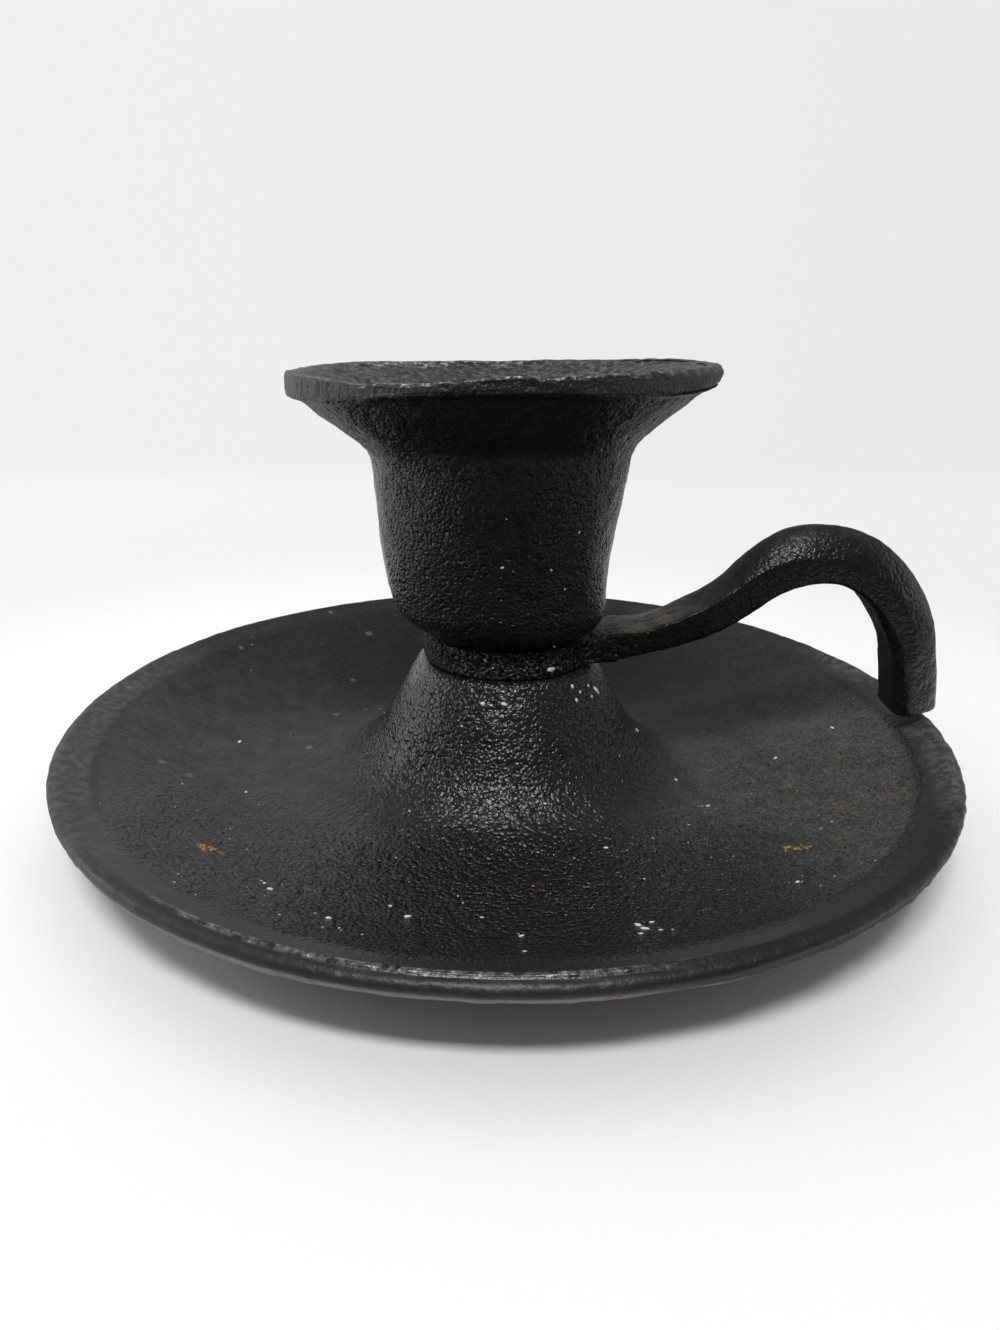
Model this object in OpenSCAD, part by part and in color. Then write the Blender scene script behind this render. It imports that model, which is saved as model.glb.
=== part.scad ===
// Chamberstick: a cast iron candle cup, a strap handle and a round drip pan,
// stacked on one centre line and held together by one screw and nut.
// Z is up, the pan stands on z = 0, and the handle reaches out along +X.

/* [Drip pan] */
// Diameter of the pan over the rim
pan_d = 130; // [110:1:160]
// Height of the middle of the rim's rounded nose above the table
rim_h = 10.8; // [9:0.1:16]
// Thickness of the pan's casting at the foot and round the cone
pan_t = 3; // [2.4:0.1:3.6]
// Radius of the rim's rounded nose
nose_r = 1.3; // [1.1:0.1:1.6]
// Width of the dressed band on top of the rim
band_w = 3.5; // [2:0.1:5]
// Inward fall of the dressed band
band_fall = 12; // [4:1:20]
// Width of the flat foot ring
foot_w = 3.3; // [2:0.1:6]

/* [Cone] */
// Height of the seat on top of the cone above the table
cone_h = 21.2; // [18:0.1:28]
// Diameter at which the cone's side meets the seat
seat_d = 25.8; // [25:0.1:30]
// Steepness of the cone's side
cone_slope = 60.5; // [52:0.5:66]
// Radius of the sweep from the cone into the pan's floor
sweep_r = 16.3; // [10:0.1:18]
// Radius of the cone's shoulder
shoulder_r = 1.5; // [0.8:0.1:2]
// Thickness of the metal under the seat
seat_t = 4; // [3:0.1:6]

/* [Handle] */
// Diameter of the eye clamped between the cone and the cup
eye_d = 24.8; // [22:0.1:25]
// Thickness of the eye
eye_t = 4; // [3.9:0.1:5]
// Thickness of the strap's sides
strap_t = 3.6; // [3:0.1:3.6]
// Width of the strap
strap_w = 8.8; // [8:0.1:11]
// Height of the crown on the outside of the strap
crown_h = 3.8; // [2.5:0.1:4]
// Height of the crown that is left on the flat part next to the eye
crown_left = 0.3; // [0.1:0.05:0.3]
// Extra thickness of the strap's sides just outside the cup's underside
root_h = 0.5; // [0:0.1:0.6]
// Length of strap over which the extra thickness comes and goes
root_run = 11; // [10:0.5:16]
// Distance from the centre line to where the strap starts to rise
rise_x = 10; // [9:0.1:11]
// Radius of the rising sweep, on the underside
rise_r = 42.5; // [36:0.5:50]
// Steepness of the strap where it turns over into the loop
rise_a = 38.5; // [34:0.5:42]
// Radius of the loop, on the inside
loop_r = 12.4; // [11:0.1:13]
// Outward lean of the strap's leg, off the vertical
leg_lean = 6.5; // [4:0.5:14]
// Length of strap, from where it starts to rise, before the crown begins
crown_start = 18.5; // [8:0.5:24]
// Length of strap over which the crown comes up
crown_run = 19; // [12:0.5:30]
// Radius of the edges of the strap's inner face
strap_edge_r = 0.8; // [0.3:0.1:1.4]
// Gap between the strap's end and the rim
tip_gap = 0.9; // [0.4:0.1:2]

/* [Candle cup] */
// Height of the cup
cup_h = 36.7; // [32:0.1:46]
// Diameter of the cup's side where it would meet the cup's underside
cup_d = 30; // [30:0.1:34]
// Taper of the cup's side, off the vertical
cup_taper = 7; // [4:0.5:8]
// Radius of the cup's lower corner
cup_corner_r = 5; // [3:0.1:5.4]
// Diameter of the flange
flange_d = 58; // [54:0.5:66]
// Height of the flange's outer edge
flange_edge = 2.5; // [1.8:0.1:3.4]
// Steepness of the flange's underside
flare_a = 35; // [30:1:38]
// Radius of the neck below the flange
neck_r = 5.5; // [3:0.1:7]
// Width of the flat land around the flange's edge
land_w = 1.6; // [1.2:0.1:2.4]
// Depth of the dished flange above the mouth of the bore
dish_h = 4.9; // [3.5:0.1:5.5]
// Thickness of the cup's floor
floor_t = 4; // [3.4:0.1:6]

/* [Candle] */
// Diameter of the candle that the bore takes
candle_d = 22.2; // [19:0.1:22.8]
// Clearance around the candle
candle_gap = 0.4; // [0.2:0.1:0.6]
// Chamfer at the mouth of the bore
mouth_c = 0.8; // [0.4:0.1:1.2]

/* [Screw and nut] */
// Diameter of the screw
screw_d = 4.8; // [4:0.1:6]
// Diameter of the screw's countersunk head
head_d = 9.4; // [8.8:0.1:11]
// Depth of the head below the cup's floor
head_sink = 0.2; // [0.1:0.1:0.4]
// Height of the straight edge of the head
head_edge = 0.4; // [0.2:0.1:0.6]
// Width of the slot in the head
slot_w = 1.2; // [0.8:0.1:1.5]
// Depth of the slot in the head
slot_h = 1.1; // [0.8:0.1:1.3]
// Clearance of the screw in the three castings
hole_gap = 0.35; // [0.2:0.05:0.5]
// Width of the nut across its flats
nut_w = 8.8; // [8:0.1:10]
// Height of the nut
nut_h = 3.6; // [3:0.1:5]
// Gap between the nut's bore and the screw
thread_gap = 0.05; // [0.03:0.01:0.1]
// Length of the screw that shows past the nut
screw_end = 1.6; // [0.5:0.1:2]

/* [Hidden] */
$fn = 96;
arc_steps = 12;
edge_steps = 3;
crown_steps = 12;
rise_steps = 14;
loop_steps = 26;
joint = 0.01;
pan_r = pan_d / 2;
nose_x = pan_r - nose_r;
rim_top = rim_h + nose_r;
// Crease where the rim's band meets the dished floor
band_x = nose_x - nose_r * sin(band_fall);
band_z = rim_h + nose_r * cos(band_fall);
crease_x = band_x - band_w * cos(band_fall);
crease_z = band_z - band_w * sin(band_fall);
// Lower end of the cone's straight side, and the floor's lowest circle
side_foot_z = pan_t + sweep_r * (1 - cos(cone_slope));
side_foot_x = seat_d / 2 + (cone_h - side_foot_z) / tan(cone_slope);
floor_x = side_foot_x + sweep_r * sin(cone_slope);
dish_r = (pow(crease_x - floor_x, 2) + pow(crease_z - pan_t, 2)) / (crease_z - pan_t) / 2;
dish_a = asin((crease_x - floor_x) / dish_r);
// Underside that runs from the foot ring into the rim's nose
foot_x = floor_x + foot_w;
under_r = (pow(nose_x - foot_x, 2) + pow(rim_h, 2) - pow(nose_r, 2)) / (rim_h - nose_r) / 2;
under_a = atan2(nose_x - foot_x, under_r - rim_h);
// Hollow under the cone, parallel to the cone's side
hollow_r = sweep_r + pan_t;
hollow_z = cone_h - seat_t;
hollow_foot_z = hollow_r * (1 - cos(cone_slope));
hollow_foot_x = floor_x - hollow_r * sin(cone_slope);
hollow_top_x = hollow_foot_x - (hollow_z - hollow_foot_z) / tan(cone_slope);
// Strap
rise_z = cone_h + rise_r;
loop_x = rise_x + (rise_r + loop_r) * sin(rise_a);
loop_z = rise_z - (rise_r + loop_r) * cos(rise_a);
tip_z = rim_top + tip_gap;
cup_flat_r = cup_d / 2 - cup_corner_r / tan(45 + cup_taper / 2);
root_start = max(cup_flat_r - rise_x, 0);
// Cup
cup_z = cone_h + eye_t;
floor_z = cup_z + floor_t;
cup_top = cup_z + cup_h;
flange_r = flange_d / 2;
mouth_z = cup_top - dish_h;
bore_r = candle_d / 2 + candle_gap;
edge_low = cup_top - flange_edge;
// Point where the cup's side meets the flange's underside
neck_z = (edge_low - cup_z - (flange_r - cup_d / 2) * tan(flare_a)) / (1 - tan(cup_taper) * tan(flare_a));
neck_x = cup_d / 2 + neck_z * tan(cup_taper);
// Screw
screw_r = screw_d / 2;
hole_r = screw_r + hole_gap;
head_r = head_d / 2;
head_z = floor_z - head_sink;
cone_head_h = head_r - screw_r;
nut_z = hollow_z - nut_h;
screw_z = nut_z - screw_end;
iron = [0.13, 0.13, 0.135];
steel = [0.45, 0.44, 0.42];

// Points along a circle's arc, from angle a to angle b
function arc(x, y, r, a, b, steps = arc_steps) =
    [for (i = [0:steps]) let (t = a + (b - a) * i / steps) [x + r * cos(t), y + r * sin(t)]];

// Points that round the corner q between p and s with radius r
function corner(p, q, s, r, steps = arc_steps) =
    let (
        u = (p - q) / norm(p - q),
        v = (s - q) / norm(s - q),
        half = acos(u * v) / 2,
        m = (u + v) / norm(u + v),
        c = q + m * r / sin(half),
        a = q + u * r / tan(half),
        b = q + v * r / tan(half),
        a0 = atan2(a[1] - c[1], a[0] - c[0]),
        turn = atan2(b[1] - c[1], b[0] - c[0]) - a0,
        swing = turn > 180 ? turn - 360 : turn < -180 ? turn + 360 : turn
    )
    arc(c[0], c[1], r, a0, a0 + swing, steps);

// Section of the strap with sides of height t and a crown of height c: each
// point is [off the inner face, across the strap], going round once
function strap_section(t, c) = concat(
    corner([t, -strap_w / 2], [0, -strap_w / 2], [0, 0], strap_edge_r, edge_steps),
    corner([0, 0], [0, strap_w / 2], [t, strap_w / 2], strap_edge_r, edge_steps),
    [for (i = [crown_steps:-1:0])
        let (u = 2 * i / crown_steps - 1)
        [t + c * (1 - u * u), u * strap_w / 2]]
);

// Places along the strap's inner face: each is [x, z, heading, length so far]
function strap_path() = concat(
    [[0, cone_h, 0, 0]],
    [for (i = [0:rise_steps])
        let (t = rise_a * i / rise_steps)
        [rise_x + rise_r * sin(t), rise_z - rise_r * cos(t), t, rise_r * t * PI / 180]],
    [for (i = [1:loop_steps])
        let (t = rise_a - (rise_a + 90 - leg_lean) * i / loop_steps)
        [
            loop_x - loop_r * sin(t),
            loop_z + loop_r * cos(t),
            t,
            (rise_r * rise_a + loop_r * (rise_a - t)) * PI / 180
        ]]
);

// Height of the strap's sides at a length along it: it is thickest where the
// cup's rounded corner leaves room above it
function side_at(d) =
    let (t = min(max((d - root_start) / root_run, 0), 1))
    strap_t + root_h * pow(sin(180 * t), 2);

// Crown's height at a length along the strap
function crown_at(d) =
    let (t = min(max((d - crown_start) / crown_run, 0), 1))
    crown_left + (crown_h - crown_left) * t * t * (3 - 2 * t);

// The strap as one skin of rings, closed by a flat face inside the eye and by
// the level face of its end
module strap() {
    path = strap_path();
    n = len(strap_section(strap_t, crown_h));
    rings = [for (p = path) [for (q = strap_section(side_at(p[3]), crown_at(p[3])))
        [p[0] - q[0] * sin(p[2]), q[1], p[1] + q[0] * cos(p[2])]]];
    last = rings[len(rings) - 1];
    tip = [for (v = last) [v[0] + (v[2] - tip_z) * tan(leg_lean), v[1], tip_z]];
    all_rings = concat(rings, [tip]);
    m = len(all_rings);
    polyhedron(
        points = [for (r = all_rings) for (v = r) v],
        faces = concat(
            [[for (j = [0:n - 1]) j]],
            [for (i = [0:m - 2]) for (j = [0:n - 1]) for (f = [0, 1])
                let (a = i * n + j, b = i * n + (j + 1) % n)
                f == 0 ? [a, a + n, b + n] : [a, b + n, b]],
            [[for (j = [n - 1:-1:0]) (m - 1) * n + j]]
        ),
        convexity = 6
    );
}

module pan() {
    color(iron)
        difference() {
            rotate_extrude()
                polygon(concat(
                    [[0, hollow_z], [hollow_top_x, hollow_z]],
                    arc(floor_x, hollow_r, hollow_r, 270 - cone_slope, 270),
                    [[foot_x, 0]],
                    arc(foot_x, under_r, under_r, 270 + under_a / arc_steps, 270 + under_a),
                    arc(nose_x, rim_h, nose_r, under_a - 90 + under_a / arc_steps, 90 + band_fall),
                    [[crease_x, crease_z]],
                    arc(floor_x, pan_t + dish_r, dish_r, 270 + dish_a, 270),
                    arc(floor_x, pan_t + sweep_r, sweep_r, 270 - cone_slope / arc_steps, 270 - cone_slope),
                    corner([side_foot_x, side_foot_z], [seat_d / 2, cone_h], [0, cone_h], shoulder_r),
                    [[0, cone_h]]
                ));
            translate([0, 0, hollow_z - 1])
                cylinder(h = seat_t + 2, r = hole_r);
        }
}

module handle() {
    color(iron)
        difference() {
            union() {
                translate([0, 0, cone_h])
                    cylinder(h = eye_t, r = eye_d / 2);
                strap();
            }
            translate([0, 0, cone_h - 1])
                cylinder(h = eye_t + 2, r = hole_r);
        }
}

module cup() {
    color(iron)
        difference() {
            rotate_extrude()
                polygon(concat(
                    [[0, cup_z]],
                    corner([0, cup_z], [cup_d / 2, cup_z], [neck_x, cup_z + neck_z], cup_corner_r),
                    corner([cup_d / 2, cup_z], [neck_x, cup_z + neck_z], [flange_r, edge_low], neck_r),
                    corner([neck_x, cup_z + neck_z], [flange_r, edge_low], [flange_r, cup_top], flange_edge / 4),
                    corner([flange_r, edge_low], [flange_r, cup_top], [0, cup_top], flange_edge / 4),
                    [
                        [flange_r - land_w, cup_top],
                        [bore_r + mouth_c, mouth_z],
                        [0, mouth_z]
                    ]
                ));
            translate([0, 0, floor_z])
                cylinder(h = cup_h, r = bore_r);
            translate([0, 0, mouth_z - mouth_c])
                cylinder(h = mouth_c + joint, r1 = bore_r, r2 = bore_r + mouth_c + joint);
            translate([0, 0, cup_z - 1])
                cylinder(h = floor_t + 2, r = hole_r);
            translate([0, 0, head_z - head_edge - cone_head_h])
                cylinder(h = cone_head_h, r1 = screw_r, r2 = head_r);
            translate([0, 0, head_z - head_edge])
                cylinder(h = floor_t, r = head_r);
        }
}

module screw() {
    color(steel)
        difference() {
            union() {
                translate([0, 0, screw_z])
                    cylinder(h = head_z - screw_z, r = screw_r);
                translate([0, 0, head_z - head_edge - cone_head_h])
                    cylinder(h = cone_head_h, r1 = screw_r, r2 = head_r);
                translate([0, 0, head_z - head_edge])
                    cylinder(h = head_edge, r = head_r);
            }
            translate([-head_r - 1, -slot_w / 2, head_z - slot_h])
                cube([head_d + 2, slot_w, slot_h + 1]);
        }
}

module nut() {
    color(steel)
        translate([0, 0, nut_z])
            difference() {
                cylinder(h = nut_h, r = nut_w / sqrt(3), $fn = 6);
                translate([0, 0, -1])
                    cylinder(h = nut_h + 2, r = screw_r + thread_gap);
            }
}

pan();
handle();
cup();
screw();
nut();
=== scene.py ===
"""A cast iron chamberstick: drip pan, strap handle and candle cup, clamped by one screw.

Shapes are worked out in millimetres, and mesh_piece() turns them to metres. Finishes and
the stage are in metres.
"""
import math

import bpy
import numpy as np
from mathutils import Matrix, Vector


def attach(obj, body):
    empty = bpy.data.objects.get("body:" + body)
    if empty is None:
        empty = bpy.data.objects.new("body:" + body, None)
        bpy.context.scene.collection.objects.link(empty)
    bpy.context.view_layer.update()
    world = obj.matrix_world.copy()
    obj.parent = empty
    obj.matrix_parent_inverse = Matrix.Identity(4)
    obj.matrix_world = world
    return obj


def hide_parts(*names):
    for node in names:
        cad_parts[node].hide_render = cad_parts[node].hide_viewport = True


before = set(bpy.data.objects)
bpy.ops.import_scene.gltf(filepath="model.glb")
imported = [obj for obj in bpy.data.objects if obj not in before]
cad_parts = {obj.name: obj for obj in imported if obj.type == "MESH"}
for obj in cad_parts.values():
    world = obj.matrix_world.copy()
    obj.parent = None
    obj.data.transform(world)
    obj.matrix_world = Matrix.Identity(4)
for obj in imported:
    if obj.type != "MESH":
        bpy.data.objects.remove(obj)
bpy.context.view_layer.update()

MM = 0.001
TAU = 2 * math.pi

# Sizes that several pieces share
SEAT_Z = 21.2
EYE_R = 12.4
CUP_Z = 25.2
CUP_TOP = 61.9
FLANGE_R = 29.2
NECK = (18.3, 51.95)
MOUTH_Z = 57.0
BORE_R = 11.5
CUP_FLOOR_Z = 29.2
HOLE_R = 2.75
HEAD_R = 4.7
HEAD_Z = 29.0
SCREW_R = 2.4
SCREW_Z = 12.0
NUT_Z = 13.6
NUT_H = 3.6
NUT_W = 8.8
TIP_Z = 13.0
STRAP_T = 3.6
STRAP_W = 8.8
# The cup's core sat askew in its mould: how far the outside is to the left of the bore, by height
CORE_SHIFT = ((CUP_Z, 0.0), (28.0, 0.73), (50.0, 1.15), (56.0, 1.0), (62.0, 0.8))
# The flange isn't flat: the height of its upper and lower edge, by angle
FLANGE_TOP = ((-180, 61.75), (-147, 61.95), (-121, 61.7), (-103, 62.2), (-91, 62.75),
              (-69, 63.15), (-28, 63.25), (0, 63.2), (30, 62.95), (60, 62.3), (92, 61.8),
              (140, 61.85), (180, 61.75))
FLANGE_LOW = ((-180, 59.0), (-141, 59.2), (-130, 59.4), (-113, 60.4), (-91, 61.0), (-69, 60.95),
              (-45, 60.6), (-20, 60.8), (0, 60.75), (45, 59.8), (90, 59.4), (180, 59.0))

# How the strap departs from its even section, by length along its inside: the inner face bulges
# inward, the sides are taller or lower, and the outside rises in a crown
STRAP_INWARD = ((0, 0.0), (14, 0.1), (23, 0.55), (29, 0.5), (34, 0.15), (40, -0.4), (45, -0.1),
                (49, 0.25), (55, -0.25), (80, -0.3))
STRAP_SIDE = ((0, 0.0), (46, 0.0), (58, -0.9), (80, -0.9))
STRAP_CROWN = ((0, 0.3), (18, 0.25), (20, 0.25), (23, 0.6), (25.5, 1.1), (29.5, 2.05), (32, 3.0),
               (34.5, 3.85), (37, 4.1), (40, 4.3), (43, 4.3), (46, 4.0), (50, 4.15), (53, 4.5),
               (56, 5.1), (60, 5.5), (70, 5.5), (80, 5.3))


def arc(cx, cz, r, start, end, count=16):
    """Points on a circle's arc, from angle start to angle end in degrees."""
    t = np.radians(np.linspace(start, end, count))
    return [(cx + r * math.cos(a), cz + r * math.sin(a)) for a in t]


def rounded(before, corner, after, r, count=8):
    """Points that round a corner with radius r."""
    q = np.array(corner, float)
    u = np.array(before, float) - q
    v = np.array(after, float) - q
    u /= np.linalg.norm(u)
    v /= np.linalg.norm(v)
    half = math.acos(float(np.clip(u @ v, -1, 1))) / 2
    centre = q + (u + v) / np.linalg.norm(u + v) * r / math.sin(half)
    a = q + u * r / math.tan(half) - centre
    b = q + v * r / math.tan(half) - centre
    start = math.atan2(a[1], a[0])
    swing = (math.atan2(b[1], b[0]) - start + math.pi) % TAU - math.pi
    t = np.linspace(start, start + swing, count)
    return [(centre[0] + r * math.cos(s), centre[1] + r * math.sin(s)) for s in t]


def section(*legs, counts=None):
    """One closed section: its points, their zones and the number of points in each leg. A leg
    is (zone, step, points), resampled at its step, or into the number given in counts."""
    points, zones, used = [], [], []
    for k, (zone, step, leg) in enumerate(legs):
        start = legs[k - 1][2][-1]
        line = np.array([start, *leg], float)
        keep = np.r_[True, np.linalg.norm(np.diff(line, axis=0), axis=1) > 1e-6]
        line = line[keep]
        along = np.r_[0, np.cumsum(np.linalg.norm(np.diff(line, axis=0), axis=1))]
        count = counts[k] if counts else max(1, round(along[-1] / step))
        at = np.linspace(0, along[-1], count + 1)[1:]
        points += [(np.interp(s, along, line[:, 0]), np.interp(s, along, line[:, 1])) for s in at]
        zones += [zone] * count
        used.append(count)
    return np.array(points), np.array(zones), used


def dice(ix, iy, iz, seed):
    """A repeatable number from -1 to 1 for each whole-number place."""
    h = (ix * 374761393 + iy * 668265263 + iz * 1442695041 + seed * 362437) & 0xFFFFFFFF
    h = ((h ^ (h >> 13)) * 1274126177) & 0xFFFFFFFF
    return ((h ^ (h >> 16)) & 0xFFFF) / 32767.5 - 1


def swell(p, size, seed=0):
    """Smooth bumps from -1 to 1, about size across, at the points p."""
    q = np.asarray(p) / size
    base = np.floor(q).astype(np.int64)
    t = q - base
    t = t * t * (3 - 2 * t)
    total = np.zeros(len(q))
    for dx in (0, 1):
        for dy in (0, 1):
            for dz in (0, 1):
                share = (np.where(dx, t[:, 0], 1 - t[:, 0]) * np.where(dy, t[:, 1], 1 - t[:, 1])
                         * np.where(dz, t[:, 2], 1 - t[:, 2]))
                total += share * dice(base[:, 0] + dx, base[:, 1] + dy, base[:, 2] + dz, seed)
    return total


def ease(value, low, high):
    """0 at low, 1 at high, smooth between; high may be the smaller one."""
    t = np.clip((value - low) / (high - low), 0, 1)
    return t * t * (3 - 2 * t)


def lookup(table, at):
    """A smooth curve through a table's values."""
    keys, values = np.array(table, float).T
    slopes = np.gradient(values, keys)
    k = np.clip(np.searchsorted(keys, at, side="right") - 1, 0, len(keys) - 2)
    span = keys[k + 1] - keys[k]
    t = np.clip((at - keys[k]) / span, 0, 1)
    return (values[k] + (values[k + 1] - values[k]) * t * t * (3 - 2 * t)
            + span * t * (1 - t) * (slopes[k] * (1 - t) - slopes[k + 1] * t))


def mesh_piece(name, points, faces, finish, node=None):
    """One mesh object from points in millimetres, riding on the body."""
    mesh = bpy.data.meshes.new(name)
    mesh.from_pydata((np.asarray(points) * MM).tolist(), [], faces)
    mesh.validate()
    mesh.polygons.foreach_set("use_smooth", [True] * len(mesh.polygons))
    mesh.materials.append(finish)
    piece = bpy.data.objects.new(name, mesh)
    bpy.context.scene.collection.objects.link(piece)
    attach(piece, "root")
    if node:
        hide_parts(node)
    return piece


def ring_faces(rows, columns):
    """Faces of a grid that closes on itself both ways."""
    i = np.repeat(np.arange(rows), columns)
    j = np.tile(np.arange(columns), rows)
    i2, j2 = (i + 1) % rows, (j + 1) % columns
    return np.stack([i * columns + j, i2 * columns + j, i2 * columns + j2, i * columns + j2], 1)


def turned(profile, columns):
    """A closed section turned round the centre line: each point's radius, height and angle,
    and how far outward and upward its surface faces. The section runs out over the top."""
    ahead = np.roll(profile, -1, 0) - np.roll(profile, 1, 0)
    ahead /= np.maximum(np.linalg.norm(ahead, axis=1, keepdims=True), 1e-9)
    theta = np.tile(np.linspace(0, TAU, columns, endpoint=False), len(profile))
    r, z, out_r, out_z = (np.repeat(v, columns) for v in
                          (profile[:, 0], profile[:, 1], -ahead[:, 1], ahead[:, 0]))
    return r, z, theta, out_r, out_z


def to_points(r, z, theta):
    return np.stack([r * np.cos(theta), r * np.sin(theta), z], 1)


class Wire:
    """A socket in a finish. Arithmetic on wires adds the nodes that do it."""

    def __init__(self, finish, socket):
        self.finish, self.socket = finish, socket

    def math(self, operation, *values):
        return self.finish.node("ShaderNodeMath", {"operation": operation}, [self, *values])

    def __add__(self, other):
        return self.math("ADD", other)

    def __sub__(self, other):
        return self.math("SUBTRACT", other)

    def __mul__(self, other):
        return self.math("MULTIPLY", other)

    def __pow__(self, other):
        return self.math("POWER", other)

    def __rsub__(self, other):
        return self.finish.node("ShaderNodeMath", {"operation": "SUBTRACT"}, [other, self])

    def __abs__(self):
        return self.math("ABSOLUTE")

    __radd__ = __add__
    __rmul__ = __mul__

    def ramp(self, low, high, out_low=0.0, out_high=1.0):
        """Smooth change from out_low to out_high as the value goes from low to high."""
        return self.finish.node("ShaderNodeMapRange", {"interpolation_type": "SMOOTHSTEP"},
                                {"Value": self, "From Min": low, "From Max": high,
                                 "To Min": out_low, "To Max": out_high})

    def most(self, other):
        return self.math("MAXIMUM", other)


class Finish:
    """One procedural material."""

    def __init__(self, name):
        self.material = bpy.data.materials.new(name)
        self.material.use_nodes = True
        self.tree = self.material.node_tree
        self.shader = self.tree.nodes["Principled BSDF"]
        self.place = self.node("ShaderNodeTexCoord", output="Object")
        self.x, self.y, self.z = (self.node("ShaderNodeSeparateXYZ", None, [self.place], k)
                                  for k in range(3))
        self.radius = (self.x * self.x + self.y * self.y) ** 0.5

    def node(self, kind, settings=None, values=None, output=0):
        """Adds a node, sets its settings, then its sockets' values or links."""
        made = self.tree.nodes.new(kind)
        for key, value in (settings or {}).items():
            setattr(made, key, value)
        pairs = values.items() if isinstance(values, dict) else enumerate(values or [])
        for key, value in pairs:
            self.put(made.inputs[key], value)
        return Wire(self, made.outputs[output])

    def put(self, socket, value):
        if isinstance(value, Wire):
            self.tree.links.new(value.socket, socket)
        elif isinstance(value, tuple) and len(value) == 3 and socket.type == "RGBA":
            socket.default_value = (*value, 1)
        else:
            socket.default_value = value

    def noise(self, size, detail=2.0, roughness=0.55, place=None):
        """Soft noise from 0 to 1 with features about size metres across."""
        return self.node("ShaderNodeTexNoise", None,
                         {"Vector": place or self.place, "Scale": 1 / size, "Detail": detail,
                          "Roughness": roughness})

    def vector(self, operation, *values):
        return self.node("ShaderNodeVectorMath", {"operation": operation}, list(values))

    def blend(self, share, first, second):
        """A colour between first and second."""
        return self.node("ShaderNodeMix", {"data_type": "RGBA"}, {0: share, 6: first, 7: second}, 2)

    def facing(self, axis):
        """How far the surface faces along x, y or z: from -1 to 1."""
        normal = self.node("ShaderNodeNewGeometry", output="Normal")
        return self.node("ShaderNodeSeparateXYZ", None, [normal], axis)

    def bump(self, height):
        """Relief whose height is in metres."""
        return self.node("ShaderNodeBump", None,
                         {"Strength": 1.0, "Distance": 1.0, "Height": height}, "Normal")

    def done(self, colour, roughness, normal=None, metallic=0.0, specular=0.5):
        values = {"Base Color": colour, "Roughness": roughness, "Metallic": metallic,
                  "Specular IOR Level": specular}
        if normal:
            values["Normal"] = normal
        for name, value in values.items():
            self.put(self.shader.inputs[name], value)
        return self.material


BLACK = (0.0046, 0.0053, 0.0057)
SOOT = (0.0125, 0.0125, 0.0135)
DUST = (0.044, 0.0405, 0.0415)
KHAKI = (0.092, 0.077, 0.052)
PALE = (0.100, 0.094, 0.092)
LIGHT = (0.170, 0.163, 0.158)
BARE_AND_GLINT = (0.55, 0.54, 0.52)
OCHRE = (0.42, 0.25, 0.085)
BROWN = (0.050, 0.030, 0.019)


def iron_skin(f, pebble=0.62e-3):
    """Pebbly skin of sand-cast iron under thick black: its height in metres. f.domes is near 1
    on the pebbles and 0 in the gaps between them."""
    shift = f.node("ShaderNodeTexNoise", None, {"Vector": f.place, "Scale": 1 / 0.8e-3,
                                                "Detail": 1.0}, "Color")
    wander = f.vector("MULTIPLY_ADD", shift, (0.7e-3, 0.7e-3, 0.7e-3), f.place)
    cells = f.node("ShaderNodeTexVoronoi", None, {"Vector": wander, "Scale": 1 / pebble})
    f.domes = 1 - cells * cells * 1.5
    return f.domes * 0.17e-3 + f.noise(0.40e-3, 2.0, 0.6) * 0.14e-3 + f.noise(1.2e-3) * 0.12e-3


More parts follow.
